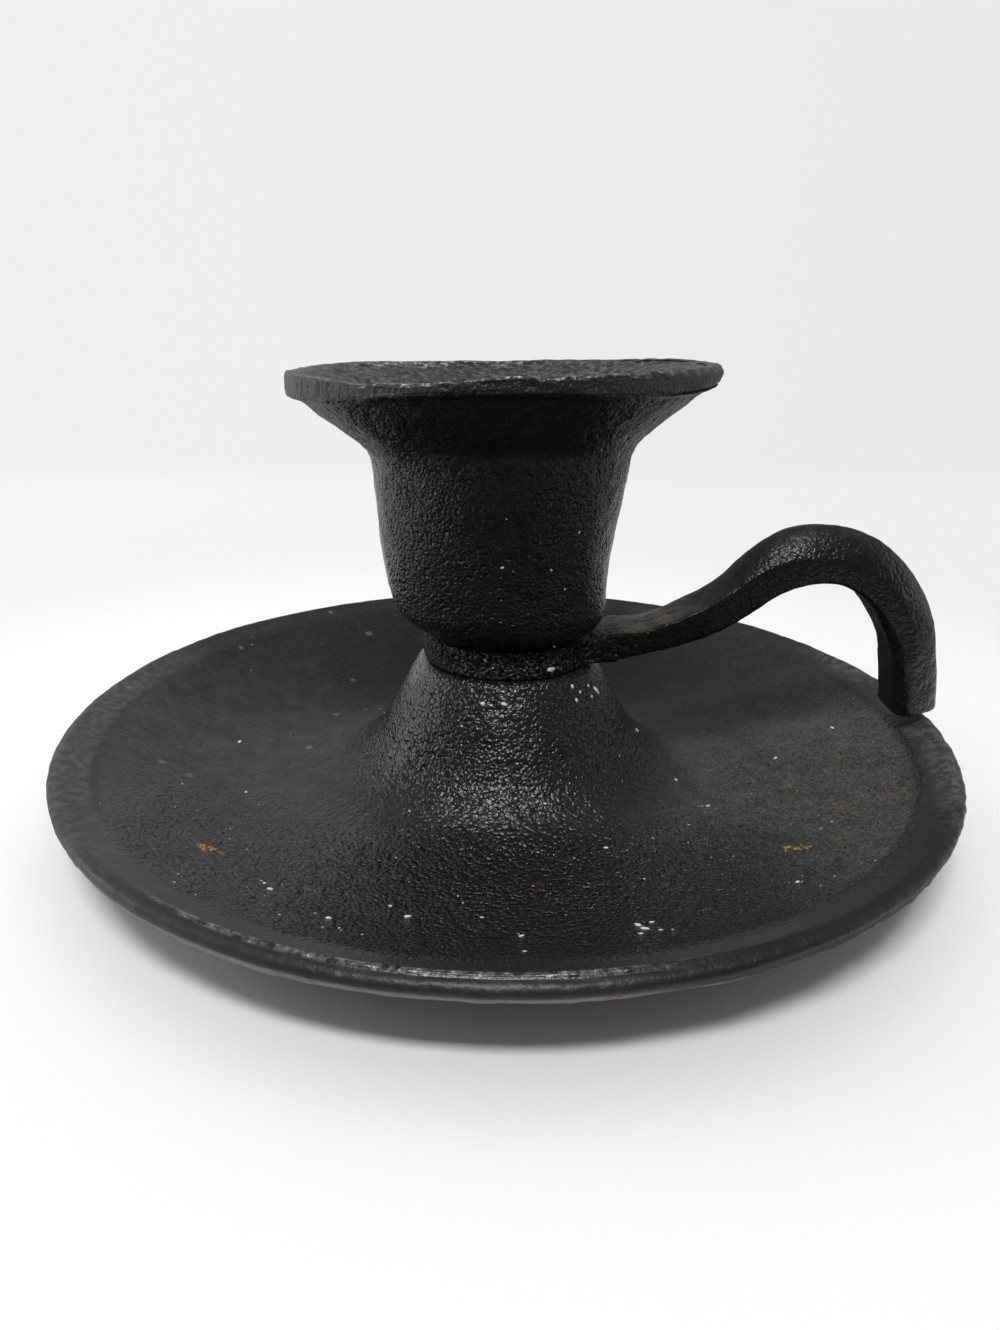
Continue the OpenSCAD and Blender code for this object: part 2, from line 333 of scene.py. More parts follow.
def pan_finish():
    f = Finish("pan_black_iron")
    skin = iron_skin(f)
    upper = f.facing(2).ramp(-0.3, 0.0)
    front = upper * f.y.ramp(-0.008, -0.030) * f.x.ramp(0.046, 0.028) * f.x.ramp(-0.044, -0.018)
    grainy = f.radius.ramp(0.032, 0.020).most(front)
    right = upper * f.x.ramp(0.018, 0.042) * f.y.ramp(-0.056, -0.044) * f.y.ramp(0.024, -0.006)
    coarse = grainy.most(right * 0.8).most(upper * f.y.ramp(-0.004, -0.024) * f.x.ramp(-0.056, -0.044) * 0.8)
    band = (f.radius + f.noise(6e-3) * 1.2e-3).ramp(0.0584, 0.0614) * f.z.ramp(0.0094, 0.0104)
    in_front = f.y.ramp(-0.020, -0.045) * f.x.ramp(0.034, 0.016)
    ridge = (f.radius.ramp(0.0624, 0.0626) * f.radius.ramp(0.0633, 0.0631)
             * f.y.ramp(-0.036, -0.050) * f.x.ramp(-0.042, -0.026) * f.x.ramp(0.024, 0.010))
    under = f.z.ramp(0.0116, 0.0108) * f.radius.ramp(0.0600, 0.0625)
    fine = f.noise(0.45e-3, 2.0, 0.6)
    mottle = f.noise(3.2e-3, 4.0, 0.65)
    cloud = f.noise(16e-3, 2.0, 0.5)
    # the back of the pan is painted darker, with less dusting and blacker iron, as painted shade from the cup
    # and its flange
    back = f.y.ramp(0.002, 0.034)
    dust_and_back_shade = (cloud * 0.4 + mottle * 0.7).ramp(0.34, 0.75) * (1 - back * 0.9)
    colour = f.blend(dust_and_back_shade, f.blend(back * 0.7, SOOT, BLACK), DUST)
    khaki = right * (mottle.ramp(0.38, 0.62) * 0.95 + 0.05) * f.noise(0.6e-3, 3.0, 0.75).ramp(0.49, 0.58)
    colour = f.blend(khaki, colour, KHAKI)
    colour = f.blend(grainy * 0.95, colour, BLACK)
    left = f.x.ramp(-0.010, -0.026) * f.y.ramp(-0.008, -0.028) * (1 - band)
    colour = f.blend(left * upper * (mottle * 0.5 + 0.35), colour, DUST)
    # the pebble tops carry a little grey dusting, and the gaps between them are painted black as shade in the
    # hollows
    colour = f.blend(f.domes.ramp(0.6, 1.0) * fine.ramp(0.45, 0.62) * f.radius.ramp(0.020, 0.032, 0.15, 0.65),
                     colour, DUST)
    colour = f.blend(f.domes.ramp(0.6, 0.2) * (grainy * 0.5 + 0.35), colour, BLACK)
    worn = f.noise(1.3e-3, 3.0, 0.7)
    side = (0 - f.x).ramp(0.036, 0.060).most(f.x.ramp(0.054, 0.062) * 0.8) * (1 - back * 0.9)
    colour = f.blend(band * (1 - back) * 0.8, colour, SOOT)
    colour = f.blend(band * side * 0.9, colour, DUST)
    colour = f.blend(band * side * worn.ramp(0.42, 0.64) * 0.65, colour, PALE)
    # the rim's lower face is lighter at the sides, and in front a pale strip on it is a painted reflection of
    # the table
    painted_reflection_strip = f.z.ramp(0.0106, 0.0102) * in_front
    colour = f.blend(under * (worn.ramp(0.30, 0.55) * 0.4 + 0.15) * (1 - in_front * 0.85), colour, DUST)
    colour = f.blend(under * painted_reflection_strip * (worn.ramp(0.30, 0.55) * 0.3 + 0.60), colour, LIGHT)
    # the ridge is painted light in broken patches: a painted highlight along the burr, with worn bare spots
    colour = f.blend(ridge * worn.ramp(0.40, 0.60) * 0.6, colour, LIGHT)
    colour = f.blend(ridge * worn.ramp(0.60, 0.70) * 0.7, colour, BARE_AND_GLINT)
    # a dark line of painted shade follows the crease at the band's inner edge, and the band is darker in
    # front on the right
    crease = f.radius.ramp(0.0584, 0.0590) * f.radius.ramp(0.0600, 0.0594) * (1 - back)
    colour = f.blend(crease * (f.x.ramp(0.0, 0.03) * 0.5 + 0.3), colour, BLACK)
    colour = f.blend(band * f.y.ramp(-0.024, -0.038) * f.x.ramp(0.008, 0.022) * 0.9, colour, BLACK)
    worn_side = f.radius.ramp(0.0600, 0.0625) * f.x.ramp(0.050, 0.060) * f.z.ramp(0.0094, 0.0104)
    colour = f.blend(worn_side * worn.ramp(0.45, 0.60) * 0.6, colour, PALE)
    # pale spots where the wax was scraped off, behind on the left
    spots = f.node("ShaderNodeTexVoronoi", None, {"Vector": f.place, "Scale": 1 / 6.5e-3})
    pale_spots = upper * spots.ramp(0.14, 0.07) * f.x.ramp(-0.012, -0.020) * f.y.ramp(-0.016, -0.006)
    colour = f.blend(pale_spots * 0.65, colour, LIGHT)
    stain = (f.noise(9e-3, 3.0, 0.6).ramp(0.52, 0.66) * f.radius.ramp(0.030, 0.046)
             * f.y.ramp(0.008, 0.030))
    colour = f.blend(stain * mottle.ramp(0.40, 0.65) * 0.18, colour, KHAKI)
    # the cone's upper-left shoulder is painted pale: a painted highlight of the light from the left, and wear
    shoulder_highlight_and_wear = f.z.ramp(0.0150, 0.0195) * f.x.ramp(-0.0100, -0.0125) * f.y.ramp(-0.0075, -0.0045)
    colour = f.blend(shoulder_highlight_and_wear * (worn.ramp(0.35, 0.55) * 0.6 + 0.4), colour, PALE)
    rust = f.noise(5e-3, 3.0, 0.7).ramp(0.64, 0.72) * f.noise(0.9e-3, 2.0, 0.6).ramp(0.42, 0.6)
    colour = f.blend(rust * 0.8, colour, BROWN)
    # dressing marks run across the band
    turn = f.x.math("ARCTAN2", 0 - f.y)
    across = f.node("ShaderNodeCombineXYZ", None, [turn * 0.062, f.radius * 0.10, f.z * 0.10])
    marks = f.noise(0.42e-3, 2.0, 0.6, across)
    deep = f.radius.ramp(0.024, 0.038) * 1.2 + 0.62
    height = (skin * (coarse * 0.82 + 0.18) * deep * (1 - band * 0.92)
              + marks * band * (1 - in_front * 0.8) * 0.10e-3)
    rough = (1 - coarse) * 0.33 + 0.19 + fine * 0.08 + band * (1 - ridge) * (1 - back) * 0.20 + back * 0.20
    return f.done(colour, rough, f.bump(height), specular=0.45)


def cup_finish():
    f = Finish("cup_black_iron")
    skin = iron_skin(f, 0.50e-3)
    facing_up = f.facing(2).ramp(0.25, 0.75)
    edge = f.radius.ramp(0.0272, 0.0280) * f.z.ramp(0.0570, 0.0580) * f.facing(2).ramp(-0.55, -0.25)
    flare = f.z.ramp(0.0500, 0.0530) * (1 - edge)
    hollow = (f.z.ramp(0.0500, 0.0530) * (1 - edge) * f.z.ramp(0.0615, 0.0600)
              * f.y.ramp(-0.006, -0.013) * abs(f.x).ramp(0.020, 0.008))
    left, right = f.x.ramp(-0.004, -0.016), f.x.ramp(0.006, 0.022)
    fine = f.noise(0.5e-3, 2.0, 0.6)
    cloud = f.noise(8e-3, 3.0, 0.6)
    colour = f.blend(cloud.ramp(0.40, 0.70) * 0.35, BLACK, SOOT)
    colour = f.blend(f.domes.ramp(0.6, 1.0) * fine.ramp(0.45, 0.65) * (0.15 - right * 0.10), colour, DUST)
    # the edge shows the strokes of the grinding on its left
    turn = f.y.math("ARCTAN2", f.x)
    strokes = f.noise(0.5e-3, 2.0, 0.6, f.node("ShaderNodeCombineXYZ", None,
                                               [turn * 0.029, 0.0, f.z * 0.08]))
    colour = f.blend(edge * (left * strokes.ramp(0.35, 0.62) * 0.75 + right * 0.45 + 0.10), colour, DUST)
    top = f.z.ramp(0.0555, 0.0575) * facing_up
    grit = f.noise(1.1e-3, 4.0, 0.75)
    colour = f.blend(top * grit.ramp(0.42, 0.60) * 0.8, colour, PALE)
    colour = f.blend(top * grit.ramp(0.52, 0.64) * 0.7, colour, LIGHT)
    # the lip is painted light: painted glints on its chipped front corner, and a painted highlight along the
    # far lip
    lip = f.radius.ramp(0.0278, 0.0290) * facing_up
    far_lip_highlight = f.radius.ramp(0.0255, 0.0265) * f.y.ramp(0.012, 0.022) * f.x.ramp(0.008, -0.004)
    near_lip_glints_and_chips = lip * f.y.ramp(-0.018, -0.026) * f.x.ramp(-0.020, -0.012)
    colour = f.blend((near_lip_glints_and_chips * 0.6).most(far_lip_highlight * facing_up) * grit.ramp(0.46, 0.58), colour, LIGHT)
    colour = f.blend(near_lip_glints_and_chips.most(far_lip_highlight * facing_up * 0.8) * grit.ramp(0.56, 0.62), colour, BARE_AND_GLINT)
    bore = f.radius.ramp(0.0130, 0.0120) * f.z.ramp(0.0270, 0.0280)
    colour = f.blend(bore * 0.7, colour, BROWN)
    height = (skin * (1 - edge * left * 0.6) * (1 - bore * 0.5) * (1 + flare * 0.6) * (1 - hollow * 0.75)
              + grit * top * 0.7e-3 + strokes * edge * left * 0.15e-3)
    rough = fine * 0.10 + 0.19 + edge * 0.20 + flare * 0.16 - lip * 0.08
    return f.done(colour, rough, f.bump(height), specular=0.30)


def handle_finish():
    f = Finish("handle_black_iron")
    skin = iron_skin(f)
    top = f.facing(2).ramp(0.45, 0.95)
    leg = f.facing(0).ramp(0.40, 0.90) * f.x.ramp(0.046, 0.054)
    fine = f.noise(0.5e-3, 2.0, 0.6)
    patches = f.noise(3.5e-3, 3.0, 0.6)
    near_eye = f.x.ramp(0.034, 0.018) * f.x.ramp(0.012, 0.016)
    colour = f.blend(top.most(leg * 0.7) * patches.ramp(0.30, 0.60) * f.x.ramp(0.018, 0.034, 0.12, 0.35),
                     BLACK, DUST)
    colour = f.blend(top * near_eye * patches.ramp(0.40, 0.62) * 0.75, colour, KHAKI)
    colour = f.blend(f.domes.ramp(0.6, 1.0) * fine.ramp(0.45, 0.65) * 0.20, colour, DUST)
    eye = f.radius.ramp(0.0145, 0.0130)
    # pale specks on the eye are painted glints
    eye_glints = f.noise(0.40e-3, 2.0, 0.6).ramp(0.58, 0.66)
    colour = f.blend(eye * eye_glints * 0.9, colour, LIGHT)
    height = skin * (f.x.ramp(0.014, 0.026, 1.2, 0.40) + eye * 1.0)
    rough = fine * 0.10 + 0.20 + top * 0.24 + f.facing(0).ramp(-0.3, -0.7) * 0.4
    return f.done(colour, rough, f.bump(height), specular=0.27)


def steel_finish():
    f = Finish("old_steel")
    stain = f.noise(1.6e-3, 4.0, 0.65)
    scratch = f.noise(0.2e-3, 2.0, 0.6, f.vector("MULTIPLY", f.place, (1.0, 6.0, 6.0)))
    colour = f.blend(stain.ramp(0.42, 0.66), (0.30, 0.29, 0.275), (0.10, 0.065, 0.040))
    rough = stain * 0.35 + 0.22 + scratch * 0.12
    return f.done(colour, rough, f.bump(scratch * 0.01e-3 + stain * 0.02e-3),
                  stain.ramp(0.70, 0.45))


def wax_finish():
    f = Finish("wax_crumb")
    tone = f.noise(0.5e-3)
    return f.done(f.blend(tone, (0.55, 0.54, 0.51), (0.78, 0.77, 0.74)), tone * 0.2 + 0.4,
                  f.bump(tone * 0.02e-3))


def ochre_finish():
    f = Finish("ochre_crust")
    tone = f.noise(0.6e-3, 3.0, 0.6)
    return f.done(f.blend(tone.ramp(0.35, 0.65), BROWN, OCHRE), tone * 0.2 + 0.7,
                  f.bump(tone * 0.08e-3))


def pan_legs(crease, crease_r, ridge, groove, brow, low_edge, nose_r):
    """The pan's section. Outside the band the rim has a ridge, a groove and a face."""
    slope = 60.5
    floor_x, floor_z, sweep, dish = 32.7, 3.0, 16.3, 49.7
    side_foot = (18.52, 11.27)
    return (
        ("seat", 3.0, [(HOLE_R, SEAT_Z), (11.2, SEAT_Z)]),
        ("cone", 0.36, rounded((11, SEAT_Z), (12.9, SEAT_Z), side_foot, 1.5)),
        ("cone", 0.40, [side_foot]),
        ("cone", 0.40, arc(floor_x, floor_z + sweep, sweep, 270 - slope, 270, 40)),
        ("dish", 0.50, arc(floor_x, floor_z + dish, dish, 270, 301.6, 40)),
        ("crease", 0.25, rounded((57.5, 9.85), crease, ridge, crease_r)),
        ("band", 0.30, [(ridge[0] - 0.35, ridge[1] - 0.12)]),
        ("ridge", 0.08, rounded(crease, ridge, groove, 0.30)),
        ("groove", 0.10, rounded(ridge, groove, brow, 0.18)),
        ("face", 0.15, rounded(groove, brow, low_edge, nose_r)),
        ("face", 0.25, [(low_edge[0] + 0.05, low_edge[1] + 0.35)]),
        ("low_edge", 0.15, rounded(brow, low_edge, (61.0, 7.5), 0.5)),
        ("under", 1.2, arc(36.0, 46.43, 46.43, 306.5, 270, 30)),
        ("foot", 1.6, [(36.0, 0.0), (floor_x, 0.0)]),
        ("hollow", 1.6, arc(floor_x, 19.3, 19.3, 270, 270 - slope, 20)),
        ("hollow", 1.6, [(11.72, 17.2)]),
        ("bolt_face", 4.0, [(HOLE_R, 17.2)]),
        ("hole", 4.0, [(HOLE_R, SEAT_Z)]),
    )


def drip_pan(finish):
    # the dressing left a burr and a groove along the front of the rim, and none at the sides
    in_front, zone, counts = section(
        *pan_legs((59.4, 10.75), 5.0, (63.1, 12.10), (63.42, 11.68), (64.80, 11.50), (64.50, 9.85), 1.2))
    at_sides, _, _ = section(
        *pan_legs((59.4, 10.75), 12.0, (63.0, 11.95), (63.6, 12.05), (64.98, 11.60), (64.50, 9.85), 0.8),
        counts=counts)
    columns = 720
    parts = [turned(profile, columns) for profile in (in_front, at_sides)]
    theta = parts[0][2]
    turn = np.degrees((theta + math.pi) % TAU - math.pi)
    front = ease(turn, -135, -112) * ease(turn, -55, -78)
    r, z, _, out_r, out_z = (a * front + b * (1 - front) for a, b in zip(*parts))
    flat = to_points(r, z, theta)
    where = np.repeat(zone, columns)
    rim = np.stack([60 * np.cos(theta), 60 * np.sin(theta), 0 * theta], 1)
    at_rim = np.isin(where, ("crease", "band", "ridge", "groove", "face", "low_edge"))
    grainy = np.maximum(ease(r, 31, 20), ease(-np.sin(theta), 0.45, 0.85) * ~at_rim)
    skin = (swell(flat, 5.5, 5) * 0.10 + swell(flat, 2.3, 6) * 0.05
            + swell(flat, 1.3, 7) * (0.03 + 0.05 * grainy))
    calm = np.select([where == "seat", where == "bolt_face", where == "hole", where == "foot",
                      at_rim, where == "under"], [0, 0, 0, 0, 0.3, 1.2], 1.0)
    push = skin * calm * ease(np.abs(z), 0.0, 0.5) * ease(SEAT_Z - z, 0.0, 1.2)
    # the burr is broken away in places
    push += (where == "ridge") * front * (np.minimum(0.04, swell(rim, 1.6, 8) * 0.12
                                                     + swell(rim, 6.0, 9) * 0.12) - 0.04)
    # and the casting's flash leaves the rest of the rim ragged outside
    ragged = 1 + 1.1 * ease(np.cos(theta), 0.3, 0.8) * (theta > math.pi)
    push += np.isin(where, ("face", "low_edge")) * ragged * (
        swell(flat, 1.7, 10) * 0.06 + swell(flat, 0.9, 11) * 0.04)
    wide = ease(r, 44, 60)
    r = r + out_r * push + wide * (z > 0.5) * (swell(rim, 19, 12) * 0.08 - front * 0.22)
    z = z + out_z * push + wide * swell(rim, 30, 3) * 0.14 * ease(z, 0.0, 9.0)
    z = np.maximum(z, 0)
    r = np.where(where == "hole", HOLE_R, r)
    return mesh_piece("pan_casting", to_points(r, z, theta), ring_faces(len(zone), columns),
                      finish, "pan")


def candle_cup(finish):
    edge_low = CUP_TOP - 2.1
    foot = (15.0, CUP_Z)
    # the flange's lip stands out from the flare under it
    brim, step = (27.3, edge_low - 0.65), (24.9, edge_low - 2.75)
    profile, zone, _ = section(
        ("hole", 2.0, [(HOLE_R, CUP_Z + 1.45)]),
        ("sink", 1.0, [(HEAD_R, 28.6), (HEAD_R, CUP_FLOOR_Z)]),
        ("floor", 1.2, [(BORE_R, CUP_FLOOR_Z)]),
        ("bore", 1.2, [(BORE_R, MOUTH_Z - 0.8)]),
        ("mouth", 0.3, [(BORE_R + 0.8, MOUTH_Z)]),
        ("dish", 0.4, [(27.2, CUP_TOP - 0.25)]),
        ("land", 0.25, [(28.2, CUP_TOP)]),
        ("lip", 0.12, rounded((27.4, CUP_TOP), (FLANGE_R, CUP_TOP), (FLANGE_R, edge_low), 0.3)),
        ("edge", 0.20, [(FLANGE_R, edge_low + 0.5)]),
        ("lip_low", 0.12, rounded((FLANGE_R, CUP_TOP), (FLANGE_R, edge_low), brim, 0.4)),
        ("flare", 0.25, rounded((FLANGE_R, edge_low), brim, step, 0.6, 6)),
        ("flare", 0.25, rounded(brim, step, NECK, 3.0, 8)),
        ("flare", 0.25, rounded(step, NECK, foot, 5.0, 14)),
        ("side", 0.32, rounded(NECK, foot, (0, CUP_Z), 6.0, 14)),
        ("base", 1.5, [(HOLE_R, CUP_Z)]),
    )
    columns = 760
    r, z, theta, out_r, out_z = turned(profile, columns)
    where = np.repeat(zone, columns)
    flat = to_points(r, z, theta)
    rim = np.stack([29 * np.cos(theta), 29 * np.sin(theta), 0 * theta], 1)
    skin = (swell(flat, 6.0, 21) * 0.10 + swell(flat, 2.2, 22) * 0.06
            + swell(flat, 1.3, 23) * 0.06
            + swell(flat, 0.65, 36) * 0.07 * np.isin(where, ("flare", "side")) * ease(z, 44, 50))
    calm = np.select([where == "base", where == "hole", where == "sink", where == "bore",
                      where == "mouth", where == "edge"], [0, 0, 0, 0.3, 0.4, 0.5], 1.0)
    push = skin * calm * ease(z - CUP_Z, 0.0, 1.2)
    # how far the flange's upper and lower sides are out of true
    turn = np.degrees((theta + math.pi) % TAU - math.pi)
    high = lookup(FLANGE_TOP, turn) - CUP_TOP
    low = (lookup(FLANGE_LOW, turn) - edge_low + swell(rim, 9, 24) * 0.14
           + swell(rim, 2.6, 25) * 0.08)
    upper = np.isin(where, ("mouth", "dish", "land", "lip"))
    lift = np.where(upper, high * ease(r, BORE_R, 27),
                    low * ease(z, 46, 58) * np.isin(where, ("side", "flare", "lip_low")))
    down = np.clip((CUP_TOP - z) / (CUP_TOP - edge_low), 0, 1)
    lift = np.where(where == "edge", high * (1 - down) + low * down, lift)
    # on the left its edge is ground by hand, in short upright strokes
    ground = ease(-np.cos(theta), 0.30, 0.75)
    strokes = np.stack([theta * 29, 0 * theta, z * 0.06], 1)
    grind = (where == "edge") * (ground * (swell(strokes, 0.75, 26) * 0.08
                                           + swell(strokes, 3.0, 31) * 0.10)
                                 + (1 - ground) * swell(flat, 1.5, 33) * 0.16)
    # in front its upper corner is chipped, on the right it is worn round
    chipped = ease(-np.sin(theta), 0.1, 0.8)
    nibble = np.isin(where, ("lip", "land")) * np.minimum(
        0, swell(rim, 1.1, 27) * 0.12 + swell(rim, 2.7, 28) * 0.34 - 0.03) * (0.3 + 0.7 * chipped)
    worn_round = ease(np.cos(theta), 0.5, 0.85) * np.where(
        np.isin(where, ("land", "lip", "edge", "lip_low")), 1 - 4 * down * (1 - down), 0)
    brim = ease(r, 24.0, 28.4) * ease(z, 55, 58)
    rough_top = ease(r, 16, 22) * (where == "dish")
    r = r + out_r * push + grind + nibble * 0.6 + brim * swell(rim, 14, 30) * 0.12 - worn_round * 0.7
    z = (z + out_z * push + lift + nibble
         + rough_top * (swell(flat, 2.4, 34) * 0.16 + swell(flat, 1.2, 35) * 0.08))
    points = to_points(r, z, theta)
    outside = np.isin(where, ("dish", "land", "lip", "edge", "lip_low", "flare", "side"))
    points[:, 0] -= lookup(CORE_SHIFT, z) * outside * ease(r, 12.5, 16)
    return mesh_piece("cup_casting", points, ring_faces(len(profile), columns),
                      finish, "cup")


def strap_places():
    """Places along the strap's inner face: x, z, heading, side height, crown height and the
    radius of the inner edges."""
    start_x, rise_r, rise_a, loop_r, lean = 10.0, 42.5, 38.5, 12.4, 6.5
    places = [(5.0, SEAT_Z, 0.0, 0.0)]
    for a in np.radians(np.linspace(0, rise_a, 60)):
        places.append((start_x + rise_r * math.sin(a), SEAT_Z + rise_r - rise_r * math.cos(a),
                       a, rise_r * a))
    top = math.radians(rise_a)
    loop_x = start_x + (rise_r + loop_r) * math.sin(top)
    loop_z = SEAT_Z + rise_r - (rise_r + loop_r) * math.cos(top)
    for a in np.radians(np.linspace(rise_a, lean - 90, 80))[1:]:
        places.append((loop_x - loop_r * math.sin(a), loop_z + loop_r * math.cos(a), a,
                       rise_r * top + loop_r * (top - a)))
    x, z, a, length = places[-1]
    for down in np.linspace(0, z - TIP_Z, 24)[1:]:
        places.append((x + down * math.tan(math.radians(lean)), z - down, a, length + down))
    result = []
    for x, z, a, length in places:
        at = np.array(length)
        root = math.sin(math.pi * min(max((length - 0.6) / 11, 0), 1)) ** 2
        inward, side, crown = (float(lookup(t, at)) for t in (STRAP_INWARD, STRAP_SIDE, STRAP_CROWN))
        edge = 0.8 + 1.0 * float(ease(at, 42, 56))
        result.append((x + inward * math.sin(a), z - inward * math.cos(a), a,
                       STRAP_T + 0.5 * root + inward + side, crown, edge))
    return result


def strap_ring(place, count=60):
    """The strap's section at a place, with rounded edges and a crowned outside."""
    x, z, a, side, crown, edge = place
    half = STRAP_W / 2
    outline = rounded((side, -half), (0, -half), (0, 0), edge)
    outline += rounded((0, 0), (0, half), (side, half), edge)
    outline += [(side + crown * (1 - u * u), u * half) for u in np.linspace(1, -1, 25)]
    line = np.array([*outline, outline[0]])
    along = np.r_[0, np.cumsum(np.linalg.norm(np.diff(line, axis=0), axis=1))]
    at = np.linspace(0, along[-1], count, endpoint=False)
    off = np.interp(at, along, line[:, 0])
    across = np.interp(at, along, line[:, 1])
    return np.stack([x - off * math.sin(a), across, z + off * math.cos(a)], 1)


def handle_casting(finish):
    places = strap_places()
    rings = [strap_ring(p) for p in places]
    lean = math.tan(places[-1][2] + math.pi / 2)
    level = rings[-1].copy()
    level[:, 0] += (level[:, 2] - TIP_Z) * lean
    level[:, 2] = TIP_Z
    middle = level.mean(0)
    # the end of the strap is cut level, with its edge rounded off
    for inset, lift in ((0.0, 0.55), (0.16, 0.16), (0.55, 0.0)):
        ring = level + (middle - level) * (inset / 4.0)
        ring[:, 2] = TIP_Z + lift
        ring[:, 0] -= lift * lean
        rings.append(ring)
    count = len(rings[0])
    points = [q for ring in rings for q in ring]
    faces = [(i * count + j, (i + 1) * count + j, (i + 1) * count + (j + 1) % count,
              i * count + (j + 1) % count) for i in range(len(rings) - 1) for j in range(count)]
    faces.append(tuple(range(count)))
    faces.append(tuple((len(rings) - 1) * count + j for j in reversed(range(count))))
    eye = np.array([*rounded((0, SEAT_Z), (EYE_R, SEAT_Z), (EYE_R, CUP_Z), 0.5),
                    *rounded((EYE_R, SEAT_Z), (EYE_R, CUP_Z), (0, CUP_Z), 0.7),
                    (HOLE_R, CUP_Z), (HOLE_R, SEAT_Z)])[::-1]
    r, z, theta, _, _ = turned(eye, 180)
    first = len(points)
    points += list(to_points(r, z, theta))
    faces += [tuple(int(v) + first for v in q) for q in ring_faces(len(eye), 180)]
    # the strap's sides sweep into the eye in a fillet
    fillet_r = 8.0
    half = STRAP_W / 2
    fillet_x = math.sqrt((EYE_R + fillet_r) ** 2 - (half + fillet_r) ** 2)
    meet = math.degrees(math.atan2(half + fillet_r, fillet_x))
    edge = arc(fillet_x, half + fillet_r, fillet_r, 180 + meet, 270, 14)
    plan = [(5.0, 6.5)] + edge + [(x, -y) for x, y in reversed(edge)] + [(5.0, -6.5)]
    first = len(points)
    points += [np.array((x, y, h)) for h in (SEAT_Z + 0.1, CUP_Z - 0.2) for x, y in plan]
    n = len(plan)
    faces += [(first + k, first + n + k, first + n + (k + 1) % n, first + (k + 1) % n)
              for k in range(n)]
    faces.append(tuple(first + k for k in range(n)))
    faces.append(tuple(first + n + k for k in reversed(range(n))))
    mesh = bpy.data.meshes.new("handle_blank")
    mesh.from_pydata((np.array(points) * MM).tolist(), [], faces)
    mesh.update()
    blank = bpy.data.objects.new("handle_blank", mesh)
    bpy.context.scene.collection.objects.link(blank)
    fuse = blank.modifiers.new("fuse", "REMESH")
    fuse.mode, fuse.voxel_size = "VOXEL", 0.25 * MM
    soften = blank.modifiers.new("soften", "SMOOTH")
    soften.factor, soften.iterations = 0.5, 3
    bpy.context.view_layer.update()
    made = bpy.data.meshes.new_from_object(
        blank.evaluated_get(bpy.context.evaluated_depsgraph_get()))
    p = np.zeros(len(made.vertices) * 3)
    n = np.zeros(len(made.vertices) * 3)
    made.vertices.foreach_get("co", p)
    made.vertices.foreach_get("normal", n)
    p, n = p.reshape(-1, 3) / MM, n.reshape(-1, 3)
    quads = [tuple(q.vertices) for q in made.polygons]
    bpy.data.objects.remove(blank)
    bpy.data.meshes.remove(made)
    near = np.hypot(p[:, 0], p[:, 1])
    skin = (swell(p, 7.0, 41) * 0.12 + swell(p, 2.4, 42) * 0.07
            + swell(p, 1.0, 43) * (0.05 + 0.07 * ease(near, 24, 16)))
    under_cup = near < 15.5
    flat = np.where(under_cup, ease(CUP_Z - p[:, 2], 0.0, 0.8) * ease(p[:, 2] - SEAT_Z, 0.0, 0.8), 1)
    p = p + n * (skin * flat * (near > 3.4))[:, None]
    inner = near < 10.6
    p[:, 2] = np.where(inner, np.clip(p[:, 2], SEAT_Z, CUP_Z), p[:, 2])
    return mesh_piece("handle_casting", p, quads, finish, "handle")


def threaded(r, z, theta, pitch=0.8, depth=0.28):
    """Radius of a thread's flank."""
    turn = (z / pitch - theta / TAU) % 1
    return r - depth * np.abs(2 * turn - 1)


